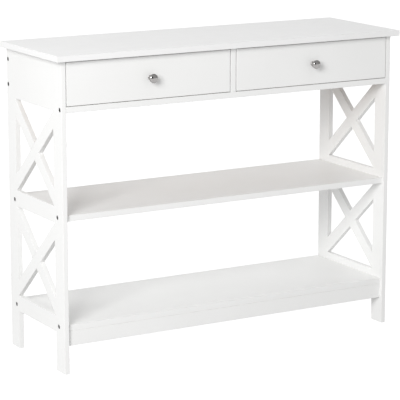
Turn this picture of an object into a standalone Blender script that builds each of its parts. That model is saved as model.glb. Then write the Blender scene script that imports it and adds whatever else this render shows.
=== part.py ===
"""Console table with two drawers, two shelves and cross-braced side frames.

Units are metres and +Z is up. The origin is on the floor, under the middle of the
whole object. -X is the left side and -Y is the front, where the drawers open.
"""
import math

import bmesh
import bpy
from mathutils import Matrix, Vector

# Overall sizes
TABLE_LENGTH = 1.000
TABLE_HEIGHT = 0.797
FRAME_DEPTH = 0.314

# Top board
TOP_THICKNESS = 0.015
TOP_SIDE_OVERHANG = 0.018
TOP_FRONT_OVERHANG = 0.016

# Side frames: two legs joined by a panel, two rails and four braces in one plane
FRAME_THICKNESS = 0.0125
LEG_WIDTH = 0.048
BRACE_WIDTH = 0.032
RAIL_HEIGHT = 0.042
RAIL_ABOVE_SHELF = 0.0185

# Shelves and their apron
SHELF_THICKNESS = 0.015
MID_SHELF_TOP = 0.400
BOTTOM_SHELF_TOP = 0.123
SHELF_FRONT_RECESS = 0.0085
SHELF_BACK_RECESS = 0.001
APRON_HEIGHT = 0.038
APRON_THICKNESS = 0.015

# Drawer zone under the top
DRAWER_ZONE_HEIGHT = 0.112
FRONT_RAIL_HEIGHT = 0.015
FRONT_RAIL_DEPTH = 0.023
BACK_PANEL_THICKNESS = 0.015
DIVIDER_THICKNESS = 0.015

# Runners: an L-shaped strip under each side of each drawer
RUNNER_HEIGHT = 0.030
RUNNER_WALL = 0.010
RUNNER_LEDGE = 0.012
RUNNER_LEDGE_THICKNESS = 0.008

# Drawers
DRAWER_FRONT_THICKNESS = 0.015
DRAWER_SIDE_GAP = 0.002
DRAWER_BOTTOM_GAP = 0.0015
DRAWER_TOP_GAP = 0.0035
DRAWER_BOARD = 0.012
DRAWER_BOX_HEIGHT = 0.080
DRAWER_BACK_CLEARANCE = 0.002
DRAWER_RUN_CLEARANCE = 0.001
DRAWER_BOTTOM_THICKNESS = 0.004
DRAWER_BOTTOM_RISE = 0.007
GROOVE_DEPTH = 0.005

# Knobs and their screws
KNOB_REACH = 0.024
KNOB_RADIUS = 0.0115
KNOB_NECK_RADIUS = 0.0048
KNOB_FOOT_RADIUS = 0.0065
KNOB_SCREW_RADIUS = 0.002
KNOB_SCREW_HEAD_RADIUS = 0.0042
KNOB_SCREW_HEAD_HEIGHT = 0.0026
KNOB_SCREW_GRIP = 0.008

# Frame bolts, sunk in the outer faces of the legs
BOLT_HEAD_RADIUS = 0.0055
BOLT_HEAD_HEIGHT = 0.0035
BOLT_SINK = 0.0008
BOLT_SHANK_RADIUS = 0.003
BOLT_GRIP = 0.034
BOLT_SOCKET_WIDTH = 0.005
BOLT_SOCKET_DEPTH = 0.0022
SHELF_BOLT_INSET = 0.033
BACK_BOLT_SPACING = 0.064

# Clearances and edge finish
GAP = 0.0003
HOLE_CLEARANCE = 0.0003
CUT_MARGIN = 0.001
EDGE_EASE = 0.0008
ROUND_SEGMENTS = 16
KNOB_SEGMENTS = 32

# Places worked out from the sizes above
FRONT_REACH = max(KNOB_REACH, TOP_FRONT_OVERHANG)
BACK_Y = (FRAME_DEPTH + FRONT_REACH) / 2
FRONT_Y = BACK_Y - FRAME_DEPTH
OUTER_X = TABLE_LENGTH / 2 - TOP_SIDE_OVERHANG
INNER_X = OUTER_X - FRAME_THICKNESS
TOP_UNDERSIDE = TABLE_HEIGHT - TOP_THICKNESS
FRONT_RAIL_TOP = TOP_UNDERSIDE - DRAWER_ZONE_HEIGHT
FRONT_RAIL_BOTTOM = FRONT_RAIL_TOP - FRONT_RAIL_HEIGHT
MID_RAIL_TOP = MID_SHELF_TOP + RAIL_ABOVE_SHELF
BOTTOM_RAIL_TOP = BOTTOM_SHELF_TOP + RAIL_ABOVE_SHELF
LEG_FRONT_FACE = FRONT_Y + LEG_WIDTH
LEG_BACK_FACE = BACK_Y - LEG_WIDTH
BACK_PANEL_FACE = BACK_Y - BACK_PANEL_THICKNESS
SIDES = {"left": -1, "right": 1}


def remove_everything():
    """Clear the scene's objects."""
    for obj in list(bpy.data.objects):
        bpy.data.objects.remove(obj, do_unlink=True)


def finish(name, colour, roughness, metallic=0.0):
    """Return the named Principled material, made once."""
    found = bpy.data.materials.get(name)
    if found:
        return found
    material = bpy.data.materials.new(name)
    material.use_nodes = True
    shader = material.node_tree.nodes["Principled BSDF"]
    shader.inputs["Base Color"].default_value = (*colour, 1.0)
    shader.inputs["Roughness"].default_value = roughness
    shader.inputs["Metallic"].default_value = metallic
    return material


def white_lacquer():
    """Satin white lacquer on the frames, shelves and drawer fronts."""
    return finish("white_lacquer", (0.86, 0.86, 0.85), 0.35)


def top_lacquer():
    """The same lacquer on the top board, a little glossier."""
    return finish("top_lacquer", (0.84, 0.84, 0.84), 0.28)


def drawer_board():
    """White foil on the boards of the drawer boxes."""
    return finish("drawer_board", (0.80, 0.80, 0.78), 0.5)


def hardboard():
    """White-faced hardboard of the drawer bottoms."""
    return finish("hardboard", (0.76, 0.75, 0.72), 0.6)


def runner_wood():
    """Waxed beech of the drawer runners."""
    return finish("runner_wood", (0.62, 0.45, 0.28), 0.5)


def polished_chrome():
    """Bright plating of the knobs."""
    return finish("polished_chrome", (0.80, 0.80, 0.82), 0.12, 1.0)


def black_steel():
    """Blackened steel of the frame bolts."""
    return finish("black_steel", (0.04, 0.04, 0.045), 0.4, 1.0)


def zinc_steel():
    """Zinc-plated steel of the knob screws."""
    return finish("zinc_steel", (0.62, 0.62, 0.64), 0.35, 1.0)


def add_object(name, mesh, material=None, location=(0, 0, 0), rotation=(0, 0, 0), parent=None):
    """Link an object made from the mesh and give it its place."""
    obj = bpy.data.objects.new(name, mesh)
    obj.location = location
    obj.rotation_euler = rotation
    obj.parent = parent
    if material:
        mesh.materials.append(material)
    bpy.context.scene.collection.objects.link(obj)
    return obj


def as_mesh(name, shape):
    """Turn the bmesh into a mesh whose faces point outwards."""
    bmesh.ops.recalc_face_normals(shape, faces=shape.faces)
    mesh = bpy.data.meshes.new(name)
    shape.to_mesh(mesh)
    shape.free()
    return mesh


def board(name, low, high, material=None, eased="", parent=None):
    """Add a rectangular board between two corners, given in the world frame.

    eased names the axes whose parallel edges get the small chamfer.
    """
    low = Vector(low)
    high = Vector(high)
    shape = bmesh.new()
    bmesh.ops.create_cube(shape, size=1.0)
    bmesh.ops.scale(shape, vec=high - low, verts=shape.verts)
    chosen = []
    for edge in shape.edges:
        run = edge.verts[1].co - edge.verts[0].co
        longest = max(range(3), key=lambda axis: abs(run[axis]))
        if "xyz"[longest] in eased:
            chosen.append(edge)
    if chosen:
        bmesh.ops.bevel(shape, geom=chosen, offset=EDGE_EASE, segments=1, affect="EDGES")
    centre = (low + high) / 2
    if parent:
        centre -= parent.location
    return add_object(name, as_mesh(name, shape), material, centre, parent=parent)


def turned_mesh(name, profile, segments):
    """Spin a profile of (radius, height) points, which starts and ends on the axis."""
    shape = bmesh.new()
    points = [shape.verts.new((radius, 0, height)) for radius, height in profile]
    for start, end in zip(points, points[1:]):
        shape.edges.new((start, end))
    bmesh.ops.spin(
        shape,
        geom=list(shape.verts) + list(shape.edges),
        cent=(0, 0, 0),
        axis=(0, 0, 1),
        angle=math.tau,
        steps=segments,
        use_merge=True,
    )
    bmesh.ops.remove_doubles(shape, verts=shape.verts, dist=0.00001)
    return as_mesh(name, shape)


def smooth(mesh, angle=math.radians(35)):
    """Shade a round piece smooth and keep its sharp edges."""
    mesh.shade_smooth()
    mesh.set_sharp_from_angle(angle=angle)
    return mesh


def plate_mesh(name, outline, thickness):
    """Extrude an outline in the YZ plane to a plate centred on X = 0."""
    shape = bmesh.new()
    corners = [shape.verts.new((-thickness / 2, y, z)) for y, z in outline]
    face = shape.faces.new(corners)
    grown = bmesh.ops.extrude_face_region(shape, geom=[face])
    moved = [item for item in grown["geom"] if isinstance(item, bmesh.types.BMVert)]
    bmesh.ops.translate(shape, vec=(thickness, 0, 0), verts=moved)
    return as_mesh(name, shape)


def as_cutter(obj):
    """Mark an object as a guide that isn't part of the table."""
    obj.hide_render = True
    obj.display_type = "WIRE"
    return obj


def cut(target, cutter):
    """Take the cutter's shape out of the target."""
    modifier = target.modifiers.new(cutter.name, "BOOLEAN")
    modifier.operation = "DIFFERENCE"
    modifier.solver = "EXACT"
    modifier.object = cutter


def frame_span(side, inner=INNER_X, outer=OUTER_X):
    """Return the low and high X of a layer of the left or right frame."""
    return sorted((side * inner, side * outer))


def frame_board(name, side, y_span, z_span, eased):
    """Add one board of a side frame, in the frame's plane."""
    low_x, high_x = frame_span(side)
    low = (low_x, y_span[0], z_span[0])
    high = (high_x, y_span[1], z_span[1])
    return board(name, low, high, white_lacquer(), eased)


def add_legs_and_rails(label, side):
    """Add the legs, the side panel and the two rails of one frame."""
    leg_height = (0, TOP_UNDERSIDE - GAP)
    between = (LEG_FRONT_FACE + GAP, LEG_BACK_FACE - GAP)
    frame_board(f"{label}_front_leg", side, (FRONT_Y, LEG_FRONT_FACE), leg_height, "z")
    frame_board(f"{label}_back_leg", side, (LEG_BACK_FACE, BACK_Y), leg_height, "z")
    panel_height = (FRONT_RAIL_BOTTOM, TOP_UNDERSIDE - GAP)
    frame_board(f"{label}_side_panel", side, between, panel_height, "")
    for rail, top in (("mid", MID_RAIL_TOP), ("bottom", BOTTOM_RAIL_TOP)):
        height = (top - RAIL_HEIGHT, top)
        frame_board(f"{label}_{rail}_rail", side, between, height, "y")


def brace_outline(width, depth, height, extra=0.0):
    """Return the YZ outline of a brace that rises towards +Y across an opening.

    The opening is centred on the origin. The brace's lower edge starts in the low
    corner and its upper edge ends in the high one. extra widens it on both edges.
    """
    diagonal = math.hypot(depth, height)
    slope = math.acos(width / diagonal) - math.atan2(depth, height)
    rise = width / math.cos(slope)
    margin = extra / math.cos(slope)
    return [
        (-depth / 2, -height / 2 - margin),
        (depth / 2, height / 2 - rise - margin),
        (depth / 2, height / 2 + margin),
        (-depth / 2, -height / 2 + rise + margin),
    ]


def mirrored(outline):
    """Turn an outline that rises towards +Y into one that rises towards -Y."""
    return [(-y, z) for y, z in reversed(outline)]


def add_brace_pair(label, side, low_z, high_z):
    """Add two braces, half-lapped where they cross, in one opening of a frame."""
    depth = LEG_BACK_FACE - LEG_FRONT_FACE - 2 * GAP
    height = high_z - low_z - 2 * GAP
    middle_x = side * (INNER_X + OUTER_X) / 2
    centre = (middle_x, (LEG_FRONT_FACE + LEG_BACK_FACE) / 2, (low_z + high_z) / 2)
    outline = brace_outline(BRACE_WIDTH, depth, height)
    wide = brace_outline(BRACE_WIDTH, depth, height, HOLE_CLEARANCE)
    braces = (
        ("brace_rising_back", outline, mirrored(wide), side),
        ("brace_rising_front", mirrored(outline), wide, -side),
    )
    for kind, shape, crossing, cut_side in braces:
        name = f"{label}_{kind}"
        brace = add_object(name, plate_mesh(name, shape, FRAME_THICKNESS), white_lacquer(), centre)
        notch_mesh = plate_mesh(f"{name}_notch", crossing, FRAME_THICKNESS)
        shift = cut_side * (FRAME_THICKNESS - GAP) / 2
        notch_place = (centre[0] + shift, centre[1], centre[2])
        notch = as_cutter(add_object(f"{name}_notch", notch_mesh, location=notch_place))
        cut(brace, notch)


def add_side_frame(label, side):
    """Add one cross-braced side frame."""
    add_legs_and_rails(label, side)
    add_brace_pair(f"{label}_upper", side, MID_RAIL_TOP, FRONT_RAIL_BOTTOM)
    add_brace_pair(f"{label}_lower", side, BOTTOM_RAIL_TOP, MID_RAIL_TOP - RAIL_HEIGHT)


def add_top():
    """Add the top board, flush with the back of the frames."""
    low = (-TABLE_LENGTH / 2, FRONT_Y - TOP_FRONT_OVERHANG, TOP_UNDERSIDE)
    high = (TABLE_LENGTH / 2, BACK_Y, TABLE_HEIGHT)
    board("top_board", low, high, top_lacquer(), "xyz")


def add_cross_board(name, y_span, z_span, eased="x"):
    """Add a board that runs from one side frame to the other."""
    reach = INNER_X - GAP
    low = (-reach, y_span[0], z_span[0])
    high = (reach, y_span[1], z_span[1])
    return board(name, low, high, white_lacquer(), eased)


def add_shelves():
    """Add both shelves and the apron under the bottom one."""
    shelf_depth = (FRONT_Y + SHELF_FRONT_RECESS, BACK_Y - SHELF_BACK_RECESS)
    add_cross_board("mid_shelf", shelf_depth, (MID_SHELF_TOP - SHELF_THICKNESS, MID_SHELF_TOP))
    underside = BOTTOM_SHELF_TOP - SHELF_THICKNESS
    add_cross_board("bottom_shelf", shelf_depth, (underside, BOTTOM_SHELF_TOP))
    apron_depth = (shelf_depth[0], shelf_depth[0] + APRON_THICKNESS)
    apron_height = (underside - GAP - APRON_HEIGHT, underside - GAP)
    add_cross_board("bottom_apron", apron_depth, apron_height)


def add_drawer_zone():
    """Add the front rail, the back panel and the divider between the drawers."""
    rail_depth = (FRONT_Y, FRONT_Y + FRONT_RAIL_DEPTH)
    add_cross_board("front_rail", rail_depth, (FRONT_RAIL_BOTTOM, FRONT_RAIL_TOP))
    panel_height = (FRONT_RAIL_BOTTOM, TOP_UNDERSIDE - GAP)
    add_cross_board("back_panel", (BACK_PANEL_FACE, BACK_Y), panel_height)
    half = DIVIDER_THICKNESS / 2
    low = (-half, FRONT_Y, FRONT_RAIL_TOP + GAP)
    high = (half, BACK_PANEL_FACE - GAP, TOP_UNDERSIDE - GAP)
    board("centre_divider", low, high, white_lacquer(), "z")


def bolt_profile(extra=0.0, above=0.0, below=0.0):
    """Return the profile of a frame bolt, its head's top at height 0.

    extra adds to the radii, above and below lengthen the ends: together they turn
    the bolt into the shape of its hole.
    """
    seat = -BOLT_HEAD_HEIGHT - extra
    tip = -BOLT_HEAD_HEIGHT - FRAME_THICKNESS - BOLT_GRIP - below
    return [
        (0, above),
        (BOLT_HEAD_RADIUS + extra, above),
        (BOLT_HEAD_RADIUS + extra, seat),
        (BOLT_SHANK_RADIUS + extra, seat),
        (BOLT_SHANK_RADIUS + extra, tip),
        (0, tip),
    ]


def socket_mesh():
    """Return the hexagonal key socket of a bolt, as a cutter."""
    shape = bmesh.new()
    radius = BOLT_SOCKET_WIDTH / 2 / math.cos(math.pi / 6)
    depth = BOLT_SOCKET_DEPTH + CUT_MARGIN
    bmesh.ops.create_cone(
        shape,
        cap_ends=True,
        segments=6,
        radius1=radius,
        radius2=radius,
        depth=depth,
        matrix=Matrix.Translation((0, 0, CUT_MARGIN - depth / 2)),
    )
    return as_mesh("bolt_socket", shape)


def bolt_places():
    """Return name, y, z, leg and board of every bolt of one side frame."""
    panel_middle = (FRONT_RAIL_BOTTOM + TOP_UNDERSIDE) / 2
    panel_y = BACK_Y - BACK_PANEL_THICKNESS / 2
    rail_y = FRONT_Y + FRONT_RAIL_DEPTH / 2
    rail_z = FRONT_RAIL_BOTTOM + FRONT_RAIL_HEIGHT / 2
    half = BACK_BOLT_SPACING / 2
    places = [
        ("panel_bolt_upper", panel_y, panel_middle + half, "back_leg", "back_panel"),
        ("panel_bolt_lower", panel_y, panel_middle - half, "back_leg", "back_panel"),
        ("rail_bolt", rail_y, rail_z, "front_leg", "front_rail"),
    ]
    for shelf, top in (("mid_shelf", MID_SHELF_TOP), ("bottom_shelf", BOTTOM_SHELF_TOP)):
        z = top - SHELF_THICKNESS / 2
        places.append((f"{shelf}_bolt_front", FRONT_Y + SHELF_BOLT_INSET, z, "front_leg", shelf))
        places.append((f"{shelf}_bolt_back", BACK_Y - SHELF_BOLT_INSET, z, "back_leg", shelf))
    return places


def add_bolts(label, side, bolt_mesh, hole_mesh, socket):
    """Add the bolts of one side frame and cut their holes."""
    turn = (0, side * math.pi / 2, 0)
    for name, y, z, leg, target in bolt_places():
        place = (side * (OUTER_X - BOLT_SINK), y, z)
        bolt = add_object(f"{label}_{name}", bolt_mesh, None, place, turn)
        hexagon = as_cutter(add_object(f"{label}_{name}_socket", socket, None, place, turn))
        cut(bolt, hexagon)
        hole = as_cutter(add_object(f"{label}_{name}_hole", hole_mesh, None, place, turn))
        cut(bpy.data.objects[f"{label}_{leg}"], hole)
        cut(bpy.data.objects[target], hole)


def add_all_bolts():
    """Add every frame bolt, all from one mesh."""
    bolt_mesh = smooth(turned_mesh("frame_bolt", bolt_profile(), ROUND_SEGMENTS))
    bolt_mesh.materials.append(black_steel())
    hole_profile = bolt_profile(HOLE_CLEARANCE, BOLT_SINK + CUT_MARGIN, CUT_MARGIN)
    hole_mesh = turned_mesh("frame_bolt_hole", hole_profile, ROUND_SEGMENTS)
    socket = socket_mesh()
    for label, side in SIDES.items():
        add_bolts(label, side, bolt_mesh, hole_mesh, socket)


def bay_span(side):
    """Return the low and high X of the drawer bay on one side of the divider."""
    return sorted((side * DIVIDER_THICKNESS / 2, side * INNER_X))


def add_runner(name, wall_x, direction):
    """Add one L-shaped runner. direction points from its wall into the drawer bay."""
    low_y = FRONT_Y + DRAWER_FRONT_THICKNESS + GAP + CUT_MARGIN
    high_y = BACK_PANEL_FACE - GAP
    foot = FRONT_RAIL_TOP + GAP
    wall = RUNNER_WALL
    reach = RUNNER_WALL + RUNNER_LEDGE
    outline = [
        (0, 0),
        (reach, 0),
        (reach, RUNNER_LEDGE_THICKNESS),
        (wall, RUNNER_LEDGE_THICKNESS),
        (wall, RUNNER_HEIGHT),
        (0, RUNNER_HEIGHT),
    ]
    mesh = plate_mesh(name, outline, high_y - low_y)
    place = (wall_x + direction * GAP, (low_y + high_y) / 2, foot)
    turn = (0, 0, -direction * math.pi / 2)
    add_object(name, mesh, runner_wood(), place, turn)


def add_runners(label, side):
    """Add the two runners of one drawer bay."""
    low_x, high_x = bay_span(side)
    add_runner(f"{label}_drawer_runner_left", low_x, 1)
    add_runner(f"{label}_drawer_runner_right", high_x, -1)


def drawer_box_span(side):
    """Return the low and high X of the outer faces of a drawer's box."""
    low_x, high_x = bay_span(side)
    inset = GAP + RUNNER_WALL + DRAWER_RUN_CLEARANCE
    return low_x + inset, high_x - inset


def add_drawer_front(label, side, slide):
    """Add a drawer front, set flush between the legs and the divider."""
    low_x, high_x = bay_span(side)
    low = (low_x + DRAWER_SIDE_GAP, FRONT_Y, FRONT_RAIL_TOP + DRAWER_BOTTOM_GAP)
    top = TOP_UNDERSIDE - DRAWER_TOP_GAP
    high = (high_x - DRAWER_SIDE_GAP, FRONT_Y + DRAWER_FRONT_THICKNESS, top)
    return board(f"{label}_drawer_front", low, high, white_lacquer(), "xyz", slide)


def add_drawer_box(label, side, slide, front):
    """Add the sides, back and bottom of a drawer, with the bottom's groove."""
    left, right = drawer_box_span(side)
    front_y = FRONT_Y + DRAWER_FRONT_THICKNESS
    box_front = front_y + GAP
    box_back = BACK_PANEL_FACE - DRAWER_BACK_CLEARANCE
    foot = FRONT_RAIL_TOP + GAP + RUNNER_LEDGE_THICKNESS + GAP
    rim = foot + DRAWER_BOX_HEIGHT
    inner_left = left + DRAWER_BOARD
    inner_right = right - DRAWER_BOARD
    floor = foot + DRAWER_BOTTOM_RISE
    floor_top = floor + DRAWER_BOTTOM_THICKNESS
    side_low = (left, box_front, foot)
    side_high = (inner_left, box_back, rim)
    name = f"{label}_drawer_side"
    left_side = board(f"{name}_left", side_low, side_high, drawer_board(), "y", slide)
    side_low = (inner_right, box_front, foot)
    side_high = (right, box_back, rim)
    right_side = board(f"{name}_right", side_low, side_high, drawer_board(), "y", slide)
    back_low = (inner_left + GAP, box_back - DRAWER_BOARD, floor_top + GAP)
    back_high = (inner_right - GAP, box_back, rim)
    board(f"{label}_drawer_back", back_low, back_high, drawer_board(), "", slide)
    groove = GROOVE_DEPTH - GAP
    floor_low = (inner_left - groove, front_y - groove, floor)
    floor_high = (inner_right + groove, box_back, floor_top)
    board(f"{label}_drawer_bottom", floor_low, floor_high, hardboard(), "", slide)
    slot_low = (floor_low[0] - GAP, floor_low[1] - GAP, floor - GAP)
    slot_high = (floor_high[0] + GAP, box_back + CUT_MARGIN, floor_top + GAP)
    slot = as_cutter(board(f"{label}_drawer_groove", slot_low, slot_high, parent=slide))
    for piece in (left_side, right_side, front):
        cut(piece, slot)


def knob_profile():
    """Return the knob's profile: foot, neck, and a domed head at the far end."""
    neck_top = KNOB_REACH * 0.55
    rim = KNOB_REACH * 0.74
    profile = [(0, GAP), (KNOB_FOOT_RADIUS, GAP), (KNOB_FOOT_RADIUS, GAP + 0.0015)]
    steps = 4
    for step in range(1, steps + 1):
        turn = math.pi / 2 * step / steps
        radius = KNOB_FOOT_RADIUS - (KNOB_FOOT_RADIUS - KNOB_NECK_RADIUS) * math.sin(turn)
        profile.append((radius, GAP + 0.0015 + (neck_top - 0.004) * (1 - math.cos(turn))))
    for step in range(1, steps + 1):
        turn = math.pi / 2 * step / steps
        radius = KNOB_NECK_RADIUS + (KNOB_RADIUS - KNOB_NECK_RADIUS) * math.sin(turn)
        height = neck_top + (rim - neck_top) * (1 - math.cos(turn))
        profile.append((radius, height))
    for step in range(1, steps + 2):
        turn = math.pi / 2 * step / (steps + 1)
        profile.append((KNOB_RADIUS * math.cos(turn), rim + (KNOB_REACH - rim) * math.sin(turn)))
    profile[-1] = (0, KNOB_REACH)
    return profile


def screw_profile(extra=0.0, margin=0.0):
    """Return the profile of a knob screw, whose tip is in the knob."""
    back = -DRAWER_FRONT_THICKNESS
    seat = back - GAP
    crown = seat - KNOB_SCREW_HEAD_HEIGHT
    if margin:
        return [
            (0, KNOB_SCREW_GRIP + extra),
            (KNOB_SCREW_RADIUS + extra, KNOB_SCREW_GRIP + extra),
            (KNOB_SCREW_RADIUS + extra, back - margin),
            (0, back - margin),
        ]
    return [
        (0, KNOB_SCREW_GRIP),
        (KNOB_SCREW_RADIUS, KNOB_SCREW_GRIP),
        (KNOB_SCREW_RADIUS, seat),
        (KNOB_SCREW_HEAD_RADIUS, seat),
        (KNOB_SCREW_HEAD_RADIUS, seat - KNOB_SCREW_HEAD_HEIGHT / 2),
        (KNOB_SCREW_HEAD_RADIUS * 0.7, crown),
        (0, crown),
    ]


def add_knob(label, slide, front):
    """Add a drawer's knob and its screw, and cut the screw's hole."""
    middle = front.location.copy()
    middle.y -= DRAWER_FRONT_THICKNESS / 2
    turn = (math.pi / 2, 0, 0)
    knob_mesh = smooth(turned_mesh(f"{label}_knob", knob_profile(), KNOB_SEGMENTS))
    knob = add_object(f"{label}_drawer_knob", knob_mesh, polished_chrome(), middle, turn, slide)
    screw_mesh = smooth(turned_mesh(f"{label}_knob_screw", screw_profile(), ROUND_SEGMENTS))
    add_object(f"{label}_knob_screw", screw_mesh, zinc_steel(), middle, turn, slide)
    hole_profile = screw_profile(HOLE_CLEARANCE, CUT_MARGIN)
    hole_mesh = turned_mesh(f"{label}_knob_screw_hole", hole_profile, ROUND_SEGMENTS)
    hole = add_object(f"{label}_knob_screw_hole", hole_mesh, None, middle, turn, slide)
    as_cutter(hole)
    cut(knob, hole)
    cut(front, hole)


def add_drawer(label, side):
    """Add one drawer, whose pieces hang from an empty on the slide's axis."""
    low_x, high_x = bay_span(side)
    slide = bpy.data.objects.new(f"{label}_drawer_slide", None)
    slide.location = ((low_x + high_x) / 2, FRONT_Y, FRONT_RAIL_TOP)
    bpy.context.scene.collection.objects.link(slide)
    front = add_drawer_front(label, side, slide)
    add_drawer_box(label, side, slide, front)
    add_knob(label, slide, front)


def build_table():
    """Build the whole console table."""
    remove_everything()
    add_top()
    for label, side in SIDES.items():
        add_side_frame(label, side)
    add_shelves()
    add_drawer_zone()
    add_all_bolts()
    for label, side in SIDES.items():
        add_runners(label, side)
        add_drawer(label, side)


build_table()
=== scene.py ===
"""Console table with two drawers, two shelves and cross-braced side frames.

Every size is in metres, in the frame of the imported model: +Z is up, -X is the left end and -Y is
the front, where the drawers open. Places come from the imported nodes' boxes.
"""
import logging
import math
from abc import ABC, abstractmethod
from collections.abc import Sequence
from dataclasses import dataclass, field
from enum import Enum

import bmesh
import bpy
from mathutils import Matrix, Vector


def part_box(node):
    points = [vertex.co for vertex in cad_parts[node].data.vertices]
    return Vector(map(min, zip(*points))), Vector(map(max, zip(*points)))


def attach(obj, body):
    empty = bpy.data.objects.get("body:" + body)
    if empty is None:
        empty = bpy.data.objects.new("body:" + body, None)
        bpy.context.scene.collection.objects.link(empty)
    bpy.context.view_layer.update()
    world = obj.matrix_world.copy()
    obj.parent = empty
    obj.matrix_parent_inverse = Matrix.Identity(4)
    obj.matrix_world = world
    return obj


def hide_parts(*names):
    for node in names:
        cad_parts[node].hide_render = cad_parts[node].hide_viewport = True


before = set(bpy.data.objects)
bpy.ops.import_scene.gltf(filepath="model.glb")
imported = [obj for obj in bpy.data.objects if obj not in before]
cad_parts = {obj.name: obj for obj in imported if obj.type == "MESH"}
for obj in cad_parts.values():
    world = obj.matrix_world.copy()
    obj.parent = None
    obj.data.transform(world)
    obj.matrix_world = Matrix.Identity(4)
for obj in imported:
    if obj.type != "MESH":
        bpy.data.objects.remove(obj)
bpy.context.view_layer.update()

LOG = logging.getLogger("console_table")
EDGE_MARK = "eased_edge"
RAW_MARK = "raw_face"
WELD = 0.000001
# How far a board reaches towards its neighbour along a seam, and at a butt joint.
SEAM = 0.00013
BUTT = 0.00026
SHARP_ANGLE = math.radians(38)
SQUARE_ANGLE = math.radians(80)
WHITE = (1.0, 1.0, 1.0, 1.0)

Colour = tuple[float, float, float]
Point = tuple[float, float, float]
Pair = tuple[float, float]
Profile = Sequence[Pair]
Socket = bpy.types.NodeSocket
Tree = bpy.types.NodeTree
Piece = bpy.types.Object
Shape = bmesh.types.BMesh


class Axis(Enum):
    """A direction of the frame, with its place in a vector."""

    X = 0
    Y = 1
    Z = 2


class Side(Enum):
    """An end of the table, with the sign of its X."""

    LEFT = -1
    RIGHT = 1

    @property
    def label(self) -> str:
        """The word that starts the names of this end's nodes."""
        return self.name.lower()

    @property
    def outward(self) -> Vector:
        """The direction that points away from the table at this end."""
        return Vector((self.value, 0, 0))


class Slot(Enum):
    """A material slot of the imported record."""

    WHITE_LACQUER = "white_lacquer"
    TOP_LACQUER = "top_lacquer"
    DRAWER_BOARD = "drawer_board"
    HARDBOARD = "hardboard"
    RUNNER_WOOD = "runner_wood"
    POLISHED_CHROME = "polished_chrome"
    BLACK_STEEL = "black_steel"
    ZINC_STEEL = "zinc_steel"


class Drive(Enum):
    """The recess in the head of a bolt or screw."""

    HEX = "hex"
    CROSS = "cross"


# Node trees


class Graph:
    """Adds nodes to one tree and joins them."""

    def __init__(self, tree: Tree) -> None:
        """Keep the tree that the nodes go in."""
        self.tree = tree

    def feed(self, socket: Socket, value: object) -> None:
        """Link a socket to an input, or set the input's own value."""
        if isinstance(value, Socket):
            self.tree.links.new(value, socket)
        else:
            socket.default_value = value

    def node(
        self, kind: str, inputs: dict[str | int, object] | None = None, **settings: object
    ) -> bpy.types.Node:
        """Add one node.

        Args:
            kind: Blender's name for the type of node.
            inputs: a value or a socket for each input, by its name or place.
            **settings: the node's own properties.

        Returns:
            The new node.
        """
        made = self.tree.nodes.new(kind)
        for name, value in settings.items():
            setattr(made, name, value)
        for name, value in (inputs or {}).items():
            self.feed(made.inputs[name], value)
        return made

    def out(
        self, kind: str, inputs: dict[str | int, object] | None = None, **settings: object
    ) -> Socket:
        """Add one node, as node does, and return its first output."""
        return self.node(kind, inputs, **settings).outputs[0]

    def sum(self, operation: str, *operands: object) -> Socket:
        """Return the result of a Math node.

        Args:
            operation: the Math node's operation.
            *operands: numbers or sockets, in order.
        """
        return self.out("ShaderNodeMath", dict(enumerate(operands)), operation=operation)

    def times(self, *operands: object) -> Socket:
        """Return the product of two numbers, or with a third number added to it."""
        return self.sum("MULTIPLY" if len(operands) == 2 else "MULTIPLY_ADD", *operands)

    def vector(self, x: object, y: object, z: object) -> Socket:
        """Return a vector made of three numbers or sockets."""
        return self.out("ShaderNodeCombineXYZ", {0: x, 1: y, 2: z})

    def parts(self, vector: Socket) -> list[Socket]:
        """Return the X, Y and Z of a vector."""
        return list(self.node("ShaderNodeSeparateXYZ", {0: vector}).outputs)


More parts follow.
